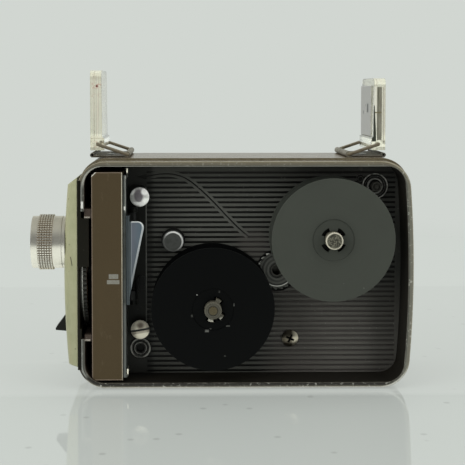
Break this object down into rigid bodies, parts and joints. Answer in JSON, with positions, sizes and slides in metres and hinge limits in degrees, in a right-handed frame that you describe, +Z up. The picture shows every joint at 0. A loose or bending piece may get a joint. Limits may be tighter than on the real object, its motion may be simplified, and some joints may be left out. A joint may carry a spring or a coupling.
{
  "type": "movie camera",
  "caption": "Spring-wound movie camera for small spool film, open on its film side: focusing lens, film gate, spools, clockwork drive and folding finder.",
  "frame": {"origin": "centre of the tripod socket's mouth in the flat base", "axes": "+X from the lens to the rear, +Z up, -Y out of the open film side; the base lies in the plane Z = 0"},
  "size_m": [0.1628, 0.0674, 0.1355],
  "materials": {
    "case_paint": "semi-gloss enamel",
    "panel_enamel": "satin enamel",
    "black_metal": "matte",
    "housing_enamel": "matte",
    "satin_aluminium": "satin, machined",
    "steel": "brushed",
    "chrome_plate": "polished",
    "brass": "turned",
    "spring_steel": "blued",
    "optical_glass": "polished, coated",
    "finder_clear": "clear moulded block, polished",
    "grey_spool": "matte",
    "black_spool": "semi-matte",
    "grey_enamel": "satin"
  },
  "bodies": {
    "frame": {"case_shell": "case_paint", "tripod_bush": "steel", "front_panel": "panel_enamel", "front_spacer": "black_metal", "wheel_pin": "steel", "lens_mount": "satin_aluminium", "mount_nut": "steel", "lens_elements": "optical_glass", "lever_spring": "spring_steel", "gate_housing": "housing_enamel", "aperture_plate": "steel", "hinge_rod": "steel", "pressure_spring": "spring_steel", "gate_side_plate": "black_metal", "dome_stud": "chrome_plate", "gate_screw": "chrome_plate", "floor_bush": "black_metal", "floor_screw": "chrome_plate", "cover_post": "grey_enamel", "film_floor": "black_metal", "spindle_bushes": "brass", "mechanism_front": "black_metal", "mechanism_back": "brass", "pillars": "steel", "click_pin": "steel", "shutter_bridge": "steel", "footage_boss": "black_metal", "finder_brackets": "case_paint", "bracket_rivets": "steel"},
    "shutter": {"shutter_shaft": "steel", "shutter_disc": "black_metal"},
    "crown": {"crown_wheel": "brass"},
    "second": {"second_wheel": "brass"},
    "barrel": {"spring_barrel": "brass", "barrel_cap": "steel", "mainspring": "spring_steel"},
    "governor_set": {"governor": "brass"},
    "takeup": {"takeup_spool": "black_spool", "takeup_spindle": "grey_enamel", "takeup_rivet": "brass", "takeup_gear": "brass"},
    "supply": {"supply_spool": "grey_spool", "supply_spindle": "steel"},
    "winder": {"winding_arbor": "steel", "ratchet_wheel": "black_metal", "key_hub": "chrome_plate"},
    "wing": {"key_handle": "chrome_plate"},
    "click_set": {"click": "steel"},
    "claw_set": {"claw": "steel"},
    "focus": {"lens_ring": "satin_aluminium"},
    "exposure": {"exposure_wheel": "satin_aluminium"},
    "release": {"run_lever": "black_metal", "release_link": "steel"},
    "pressure": {"pressure_plate": "spring_steel"},
    "footage": {"footage_arm": "steel"},
    "front_bail_set": {"front_bail": "steel"},
    "front_block": {"front_glass": "finder_clear"},
    "rear_bail_set": {"rear_bail": "steel"},
    "rear_block": {"rear_glass": "finder_clear", "rear_mask": "grey_enamel"}
  },
  "joints": [
    {"name": "shutter_spin", "type": "hinge", "parent": "frame", "child": "shutter", "pos_m": [-0.058, -0.002, 0.0618], "axis": [1, 0, 0], "continuous": true},
    {"name": "crown_spin", "type": "hinge", "parent": "frame", "child": "crown", "pos_m": [-0.02609, 0.002, 0.0618], "axis": [0, 1, 0], "continuous": true},
    {"name": "second_spin", "type": "hinge", "parent": "frame", "child": "second", "pos_m": [-0.00809, 0.0042, 0.0618], "axis": [0, 1, 0], "continuous": true},
    {"name": "barrel_spin", "type": "hinge", "parent": "frame", "child": "barrel", "pos_m": [0.0146, -0.003, 0.0483], "axis": [0, 1, 0], "continuous": true},
    {"name": "governor_spin", "type": "hinge", "parent": "frame", "child": "governor_set", "pos_m": [-0.03511, 0.008, 0.04982], "axis": [0, 1, 0], "continuous": true},
    {"name": "takeup_spin", "type": "hinge", "parent": "frame", "child": "takeup", "pos_m": [-0.0139, -0.02, 0.0343], "axis": [0, 1, 0], "continuous": true},
    {"name": "supply_spin", "type": "hinge", "parent": "frame", "child": "supply", "pos_m": [0.0371, -0.02, 0.0636], "axis": [0, 1, 0], "continuous": true},
    {"name": "wind", "type": "hinge", "parent": "frame", "child": "winder", "pos_m": [0.0146, 0.02, 0.0483], "axis": [0, 1, 0], "range_deg": [0, 1800]},
    {"name": "wing_fold", "type": "hinge", "parent": "winder", "child": "wing", "pos_m": [0.0146, 0.03195, 0.0483], "axis": [1, 0, 0], "range_deg": [-90, 0]},
    {"name": "click_lift", "type": "hinge", "parent": "frame", "child": "click_set", "pos_m": [0.02643, -0.0113, 0.05459], "axis": [0, 1, 0], "range_deg": [0, 12], "stiffness_Nm_per_rad": 0.002, "springref_deg": -11.46},
    {"name": "claw_stroke", "type": "slide", "parent": "frame", "child": "claw_set", "axis": [0, 0, 1], "range_m": [-0.0019, 0.0019]},
    {"name": "focus_turn", "type": "hinge", "parent": "frame", "child": "focus", "pos_m": [-0.084, -0.0184, 0.0618], "axis": [1, 0, 0], "range_deg": [0, 150]},
    {"name": "exposure_turn", "type": "hinge", "parent": "frame", "child": "exposure", "pos_m": [-0.0687, -0.003, 0.0483], "axis": [1, 0, 0], "range_deg": [-44, 44]},
    {"name": "run_press", "type": "slide", "parent": "frame", "child": "release", "axis": [0, 0, -1], "range_m": [0, 0.0025], "stiffness_N_per_m": 300, "springref_m": -0.002},
    {"name": "pressure_swing", "type": "hinge", "parent": "frame", "child": "pressure", "pos_m": [-0.048, -0.0149, 0.055], "axis": [0, 0, 1], "range_deg": [0, 15], "stiffness_Nm_per_rad": 0.01, "springref_deg": -11.46},
    {"name": "footage_swing", "type": "hinge", "parent": "frame", "child": "footage", "pos_m": [0.0572, -0.012, 0.0852], "axis": [0, 1, 0], "range_deg": [0, 35], "stiffness_Nm_per_rad": 0.004, "springref_deg": -14.32},
    {"name": "front_bail_tilt", "type": "hinge", "parent": "frame", "child": "front_bail_set", "pos_m": [-0.0506, 0.0049, 0.0992], "axis": [0, 1, 0], "range_deg": [-3, 0]},
    {"name": "front_fold", "type": "hinge", "parent": "front_bail_set", "child": "front_block", "pos_m": [-0.06345, 0.0049, 0.10354], "axis": [0, 1, 0], "range_deg": [0, 90]},
    {"name": "rear_bail_tilt", "type": "hinge", "parent": "frame", "child": "rear_bail_set", "pos_m": [0.0454, 0.0049, 0.0992], "axis": [0, 1, 0], "range_deg": [0, 3]},
    {"name": "rear_fold", "type": "hinge", "parent": "rear_bail_set", "child": "rear_block", "pos_m": [0.05825, 0.0049, 0.10354], "axis": [0, 1, 0], "range_deg": [-90, 0]}
  ],
  "couplings": [
    {"joint": "crown_spin", "follows": "shutter_spin", "ratio": 0.25},
    {"joint": "second_spin", "follows": "shutter_spin", "ratio": -0.05},
    {"joint": "barrel_spin", "follows": "shutter_spin", "ratio": 0.0078947},
    {"joint": "takeup_spin", "follows": "shutter_spin", "ratio": -0.02},
    {"joint": "governor_spin", "follows": "shutter_spin", "ratio": -1.25}
  ]
}
